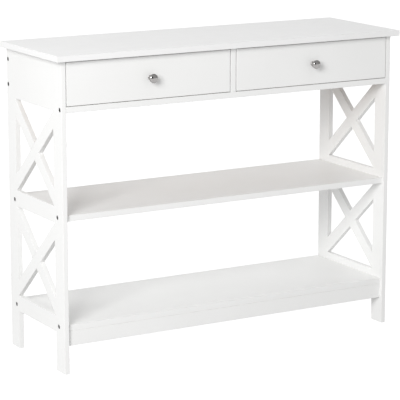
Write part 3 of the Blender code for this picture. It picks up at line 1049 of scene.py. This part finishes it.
@dataclass(frozen=True)
class SideFrame:
    """Two legs joined by a panel, two rails and two pairs of crossed braces."""

    side: Side
    bolts: FrameBolts
    outer_ease: float = 0.0009
    inner_ease: float = 0.00012
    rail_ease: float = 0.0007
    brace_width: float = 0.032
    body: str = "table_frame"

    def make_legs(self) -> None:
        """Make the two legs, bored for the bolts."""
        front_kinds = ("rail_bolt", "mid_shelf_bolt_front", "bottom_shelf_bolt_front")
        back_kinds = tuple(kind for kind in FrameBolts.KINDS if kind not in front_kinds)
        for place, outside, kinds in (("front", -1, front_kinds), ("back", 1, back_kinds)):
            node = f"{self.side.label}_{place}_leg"
            before, after = (0, SEAM) if outside < 0 else (SEAM, 0)
            cutter = Cutter()
            for kind in kinds:
                self.bolts.bore_leg(cutter, self.side, kind)
            eases = (
                Ease(Axis.Z, self.outer_ease, (0, outside, 0)),
                Ease(Axis.Z, self.inner_ease, (0, -outside, 0)),
            )
            box = corners(node, below=(0, before, 0), above=(0, after, BUTT))
            fit_board(node, self.body, box, eases, cutter)

    def make_panel_and_rails(self) -> None:
        """Make the side panel and the two rails between the legs."""
        for kind, lift in (("side_panel", BUTT), ("mid_rail", 0.0), ("bottom_rail", 0.0)):
            node = f"{self.side.label}_{kind}"
            box = corners(node, below=(0, SEAM, 0), above=(0, SEAM, lift))
            under = (0, 0, -1) if kind == "side_panel" else None
            fit_board(node, self.body, box, (Ease(Axis.Y, self.rail_ease, under),))

    def make_braces(self) -> None:
        """Make the crossed braces of both openings."""
        for opening in ("upper", "lower"):
            for rising, lean in (("back", 1), ("front", -1)):
                node = f"{self.side.label}_{opening}_brace_rising_{rising}"
                low, high = corners(node, below=(0, SEAM, BUTT), above=(0, SEAM, BUTT))
                size = high - low
                brace = Brace(
                    f"{node}_piece",
                    centre=(low + high) / 2,
                    run=size.y,
                    rise=size.z,
                    thickness=size.x,
                    width=self.brace_width,
                    lean=lean,
                    lap=lean * self.side.value,
                )
                dress(brace.build(FRAME_LACQUER), self.body, FRAME_LACQUER, node)

    def build(self) -> None:
        """Make and dress the whole side frame."""
        self.make_legs()
        self.make_panel_and_rails()
        self.make_braces()
        self.bolts.build(self.side)


@dataclass(frozen=True)
class Carcass:
    """The top, the shelves with their apron, and the boards round the drawers."""

    bolts: FrameBolts
    top_ease: float = 0.0012
    board_ease: float = 0.0008
    body: str = "table_frame"

    def make_top(self) -> None:
        """Make the top board, rounded on every edge."""
        eases = tuple(Ease(axis, self.top_ease) for axis in Axis)
        box = corners("top_board")
        fit_board("top_board", self.body, box, eases, finish=TOP_LACQUER, steps=4)

    def make_cross_board(self, node: str, kinds: Sequence[str], lift: float = 0.0) -> None:
        """Make a board that runs from one side frame to the other.

        Args:
            node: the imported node.
            kinds: the bolts that hold each of its ends.
            lift: how far its top reaches up to the board above.
        """
        cutter = Cutter()
        for side in Side:
            for kind in kinds:
                self.bolts.bore_board(cutter, side, kind)
        box = corners(node, below=(BUTT, 0, 0), above=(BUTT, 0, lift))
        fit_board(node, self.body, box, (Ease(Axis.X, self.board_ease),), cutter)

    def make_divider(self) -> None:
        """Make the divider between the drawers."""
        box = corners("centre_divider", below=(0, 0, BUTT), above=(0, BUTT, BUTT))
        front = (Ease(Axis.Z, self.board_ease, (0, -1, 0)),)
        fit_board("centre_divider", self.body, box, front)

    def build(self) -> None:
        """Make and dress every board."""
        self.make_top()
        for shelf in ("mid_shelf", "bottom_shelf"):
            self.make_cross_board(shelf, (f"{shelf}_bolt_front", f"{shelf}_bolt_back"))
        self.make_cross_board("bottom_apron", (), BUTT)
        self.make_cross_board("front_rail", ("rail_bolt",))
        self.make_cross_board("back_panel", ("panel_bolt_upper", "panel_bolt_lower"), BUTT)
        self.make_divider()


@dataclass(frozen=True)
class Runner:
    """An L-shaped strip of beech that a drawer slides on."""

    node: str
    wall: float = 0.010
    ledge: float = 0.008
    ease: float = 0.0006
    body: str = "table_frame"

    def build(self, wall_on_left: bool) -> None:
        """Make and dress the runner.

        Args:
            wall_on_left: whether its upright part is on the low-X side.
        """
        low, high = corners(self.node)
        near, far = (low.x, high.x) if wall_on_left else (high.x, low.x)
        step = math.copysign(self.wall, far - near)
        outline = (
            (near, low.z),
            (far, low.z),
            (far, low.z + self.ledge),
            (near + step, low.z + self.ledge),
            (near + step, high.z),
            (near, high.z),
        )
        shape = bmesh.new()
        mark = shape.faces.layers.float.new(EDGE_MARK)
        face = shape.faces.new([shape.verts.new((x, low.y, z)) for x, z in outline])
        grown = bmesh.ops.extrude_face_region(shape, geom=[face])["geom"]
        moved = [item for item in grown if isinstance(item, bmesh.types.BMVert)]
        bmesh.ops.translate(shape, vec=(0, high.y - low.y, 0), verts=moved)
        bmesh.ops.recalc_face_normals(shape, faces=shape.faces)
        convex = [edge for edge in shape.edges if edge.calc_face_angle_signed(0) > 1]
        rounded = bmesh.ops.bevel(
            shape, geom=convex, offset=self.ease, segments=3, profile=0.5, affect="EDGES"
        )
        for face in rounded["faces"]:
            face[mark] = 1.0
        piece = add_object(f"{self.node}_piece", shape)
        shade(piece)
        dress(piece, self.body, WAXED_BEECH, self.node)


@dataclass(frozen=True)
class Knob:
    """A turned metal knob: foot, waisted neck and a head with a shallow dome."""

    foot_radius: float = 0.0065
    foot_height: float = 0.0016
    foot_ease: float = 0.0004
    neck_radius: float = 0.0048
    neck_share: float = 0.50
    rim_share: float = 0.70
    rim_height: float = 0.0016
    arc_steps: int = 8
    segments: int = 64
    crisp: float = math.radians(50)

    def profile(self, radius: float, reach: float) -> list[Pair]:
        """Return the knob's profile.

        Args:
            radius: the head's radius.
            reach: the height of the dome's middle.
        """
        waist = reach * self.neck_share
        rim = reach * self.rim_share
        quarter = [math.pi / 2 * step / self.arc_steps for step in range(1, self.arc_steps + 1)]
        ease, foot, top = self.foot_ease, self.foot_radius, self.foot_height
        points = [(0.0, 0.0), (foot - ease, 0.0), (foot, ease), (foot, top - ease)]
        points.append((foot - ease, top))
        shrink = foot - ease - self.neck_radius
        for angle in quarter:
            radius_here = foot - ease - shrink * math.sin(angle)
            points.append((radius_here, top + (waist - top) * (1 - math.cos(angle))))
        flare = radius - self.neck_radius
        for angle in quarter:
            radius_here = self.neck_radius + flare * math.sin(angle)
            points.append((radius_here, waist + (rim - waist) * (1 - math.cos(angle))))
        shoulder = rim + self.rim_height
        points.append((radius, shoulder))
        crown = reach - shoulder
        for angle in quarter[:-1]:
            points.append((radius * math.cos(angle), shoulder + crown * math.sin(angle)))
        points.append((0.0, reach))
        return points

    def build(self, name: str, node: str, body: str) -> None:
        """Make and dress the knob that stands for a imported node."""
        low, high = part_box(node)
        seat = Vector(((low.x + high.x) / 2, high.y, (low.z + high.z) / 2))
        profile = self.profile((high.x - low.x) / 2, high.y - low.y)
        shape = bmesh.new()
        turn(shape, profile, facing(seat, Vector((0, -1, 0))), self.segments)
        piece = add_object(name, shape)
        shade(piece, self.crisp)
        dress(piece, body, KNOB_CHROME, node)


@dataclass(frozen=True)
class Drawer:
    """A drawer: flush front, two sides, a back, a grooved-in bottom, a knob and its screw."""

    side: Side
    knob: Knob = Knob()
    screw: Fastener = Fastener(
        head_radius=0.0042,
        head_height=0.0026,
        crown=0.0015,
        shank_radius=0.002,
        length=0.0233,
        drive=Drive.CROSS,
        drive_width=0.0046,
        drive_depth=0.0013,
    )
    front_ease: float = 0.0010
    board_ease: float = 0.0008
    bottom_ease: float = 0.0003
    slack: float = 0.0003

    @property
    def body(self) -> str:
        """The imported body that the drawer's pieces move with."""
        return f"{self.side.label}_drawer"

    def cut_groove(self) -> Cutter:
        """Return the cutter that makes room for the bottom's edges."""
        cutter = Cutter()
        room = (self.slack, self.slack, self.slack)
        cutter.groove(*corners(f"{self.body}_bottom", room, room))
        return cutter

    def make_front(self) -> None:
        """Make the front, grooved for the bottom and bored for the knob's screw."""
        node = f"{self.body}_front"
        low, high = corners(node)
        cutter = self.cut_groove()
        radius = self.screw.shank_radius + self.slack
        reach = high.y - low.y + 2 * self.slack
        profile = [(0, 0), (radius, 0), (radius, reach), (0, reach)]
        middle = (low + high) / 2
        mouth = Vector((middle.x, low.y - self.slack, middle.z))
        cutter.bore(mouth, Vector((0, 1, 0)), profile)
        eases = tuple(Ease(axis, self.front_ease) for axis in Axis)
        fit_board(node, self.body, (low, high), eases, cutter)

    def make_box(self) -> None:
        """Make the sides, the back and the bottom."""
        for kind in ("side_left", "side_right", "back"):
            node = f"{self.body}_{kind}"
            if kind == "back":
                box = corners(node, (BUTT, 0, BUTT), (BUTT, 0, 0))
                eases = (Ease(Axis.X, self.board_ease, (0, 0, 1)),)
            else:
                box = corners(node, (0, BUTT, 0))
                eases = (Ease(Axis.Y, self.board_ease),)
            fit_board(node, self.body, box, eases, self.cut_groove(), WHITE_FOIL)
        self.make_bottom()

    def make_bottom(self) -> None:
        """Make the bottom panel, raw on its underside."""
        node = f"{self.body}_bottom"
        eases = tuple(Ease(axis, self.bottom_ease) for axis in Axis)
        made = Board(f"{node}_piece", *corners(node), eases, steps=2).build()
        mark = made.data.attributes.new(RAW_MARK, "FLOAT", "FACE")
        for face, stored in zip(made.data.polygons, mark.data):
            stored.value = float(face.normal.z < -0.5)
        dress(made, self.body, PAINTED_HARDBOARD, node)

    def make_knob(self) -> None:
        """Make the knob and the screw that holds it."""
        self.knob.build(f"{self.body}_knob_piece", f"{self.body}_knob", self.body)
        node = f"{self.side.label}_knob_screw"
        low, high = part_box(node)
        top = Vector(((low.x + high.x) / 2, high.y, (low.z + high.z) / 2))
        piece = self.screw.build(f"{node}_piece", [top], Vector((0, 1, 0)), SCREW_ZINC)
        dress(piece, self.body, SCREW_ZINC, node)

    def build(self) -> None:
        """Make and dress the drawer and its runners."""
        self.make_front()
        self.make_box()
        self.make_knob()
        for place in ("left", "right"):
            Runner(f"{self.body}_runner_{place}").build(wall_on_left=place == "left")


# Studio


@dataclass(frozen=True)
class SoftLight:
    """A large square light that faces a point."""

    name: str
    place: Point
    target: Point
    size: float
    power: float

    def build(self) -> None:
        """Hang the light."""
        lamp = bpy.data.lights.new(self.name, "AREA")
        lamp.shape = "SQUARE"
        lamp.size = self.size
        lamp.energy = self.power
        hung = bpy.data.objects.new(self.name, lamp)
        hung.location = self.place
        aim = Vector(self.target) - Vector(self.place)
        hung.rotation_euler = aim.to_track_quat("-Z", "Y").to_euler()
        bpy.context.scene.collection.objects.link(hung)


@dataclass(frozen=True)
class Studio:
    """A pale floor in a soft white room, a key light at the left front, and the camera."""

    camera_place: Point = (-2.522, -4.349, 1.451)
    camera_heading: float = math.radians(29.975)
    camera_pitch: float = math.radians(11.735)
    lens: float = 176.7
    lens_shift: float = -0.04
    sensor_width: float = 36.0
    sight: float = 200.0
    floor_span: float = 60.0
    floor_drop: float = 0.0005
    floor_colour: Colour = (0.16, 0.16, 0.16)
    floor_glow: float = 0.96
    glow_front: float = 0.60
    glow_behind: float = 1.16
    glow_beside: float = 0.45
    glow_below: float = 0.50
    horizon: float = 0.25
    key: SoftLight = SoftLight("key_light", (-3.2, -2.68, 2.13), (0.0, 0.0, 0.4), 1.67, 137.0)
    curtain_place: Point = (-5.0, -8.5, 2.5)
    curtain_target: Point = (0.0, 0.0, 0.5)
    curtain_size: Pair = (12.0, 6.0)
    curtain_colour: Colour = (0.02, 0.02, 0.022)
    sheet_cloud: float = 0.2

    LEAST = 0.0001

    def add_sheet(
        self,
        name: str,
        finish: str,
        size: Pair,
        colour: Colour,
        gloss: Pair,
        folds: Pair,
    ) -> tuple[Piece, FinishGraph]:
        """Add a flat sheet that faces up and that soft light and shadows pass by.

        Args:
            name: the sheet's name.
            finish: its finish's name.
            size: its width and height.
            colour: its colour.
            gloss: its lowest and highest roughness.
            folds: the size and the depth of its relief.

        Returns:
            The sheet and its finish.
        """
        shape = bmesh.new()
        bmesh.ops.create_grid(shape, x_segments=1, y_segments=1, size=0.5)
        bmesh.ops.scale(shape, vec=(*size, 1.0), verts=shape.verts)
        sheet = add_object(name, shape)
        sheet.visible_diffuse = False
        sheet.visible_shadow = False
        graph = FinishGraph(finish)
        relief = graph.relief(graph.noise(folds[0]), folds[1])
        graph.paint((*colour, 1.0), graph.spread(graph.noise(self.sheet_cloud), *gloss), relief)
        sheet.data.materials.append(graph.material)
        return sheet, graph

    def lay_floor(self) -> None:
        """Lay the glowing floor, which stays white under the table."""
        span = (self.floor_span, self.floor_span)
        floor, graph = self.add_sheet(
            "floor", "pale_floor", span, self.floor_colour, gloss=(0.7, 0.8), folds=(0.01, 0.0001)
        )
        floor.location.z = -self.floor_drop
        graph.shader.inputs["Emission Color"].default_value = WHITE
        graph.shader.inputs["Emission Strength"].default_value = self.floor_glow

    def hang_curtain(self) -> None:
        """Hang a dark curtain behind the camera that only shiny surfaces see."""
        size, colour = self.curtain_size, self.curtain_colour
        curtain, _ = self.add_sheet(
            "dark_curtain", "black_curtain", size, colour, gloss=(0.8, 0.9), folds=(0.3, 0.02)
        )
        curtain.location = self.curtain_place
        toward = Vector(self.curtain_target) - curtain.location
        curtain.rotation_euler = toward.to_track_quat("Z", "Y").to_euler()
        curtain.visible_camera = False

    def glow(self, graph: Graph) -> Socket:
        """Return how bright the room is in each direction.

        Args:
            graph: the room's nodes.

        Returns:
            The front's or the back's glow, less towards the sides and below the floor's level.
        """
        way = graph.node("ShaderNodeTexCoord").outputs["Generated"]
        across, depth, height = graph.parts(way)
        depth_squared = graph.times(depth, depth)
        level = graph.times(across, across, depth_squared)
        level = graph.sum("MAXIMUM", level, self.LEAST)
        facing_depth = graph.sum("DIVIDE", depth_squared, level)
        behind = graph.sum("GREATER_THAN", depth, 0.0)
        rise = self.glow_behind - self.glow_front
        ahead = graph.times(behind, rise, self.glow_front)
        ahead = graph.sum("SUBTRACT", ahead, self.glow_beside)
        above = graph.times(facing_depth, ahead, self.glow_beside)
        inputs = {0: height, 1: -self.horizon, 2: self.horizon, 3: self.glow_below, 4: above}
        return graph.out("ShaderNodeMapRange", inputs)

    def light(self) -> None:
        """Fill the room with soft light and hang the key light."""
        world = bpy.data.worlds.new("studio_air")
        world.use_nodes = True
        air = world.node_tree.nodes["Background"]
        air.inputs["Color"].default_value = WHITE
        graph = Graph(world.node_tree)
        graph.feed(air.inputs["Strength"], self.glow(graph))
        bpy.context.scene.world = world
        self.key.build()

    def set_camera(self) -> None:
        """Set up the camera in front of the left corner of the table."""
        eye = bpy.data.cameras.new("camera")
        eye.lens = self.lens
        eye.sensor_width = self.sensor_width
        eye.shift_y = self.lens_shift
        eye.clip_end = self.sight
        stand = bpy.data.objects.new("camera", eye)
        stand.location = self.camera_place
        stand.rotation_euler = (math.pi / 2 - self.camera_pitch, 0.0, -self.camera_heading)
        bpy.context.scene.collection.objects.link(stand)
        bpy.context.scene.camera = stand

    def build(self) -> None:
        """Build the whole studio."""
        self.lay_floor()
        self.hang_curtain()
        self.light()
        self.set_camera()
        bpy.context.scene.view_settings.view_transform = "Standard"


def main() -> None:
    """Build the table and its studio."""
    logging.basicConfig(level=logging.INFO, format="%(message)s")
    bolts = FrameBolts()
    Carcass(bolts).build()
    for side in Side:
        SideFrame(side, bolts).build()
        Drawer(side).build()
    Studio().build()


if __name__ == "__main__":
    main()
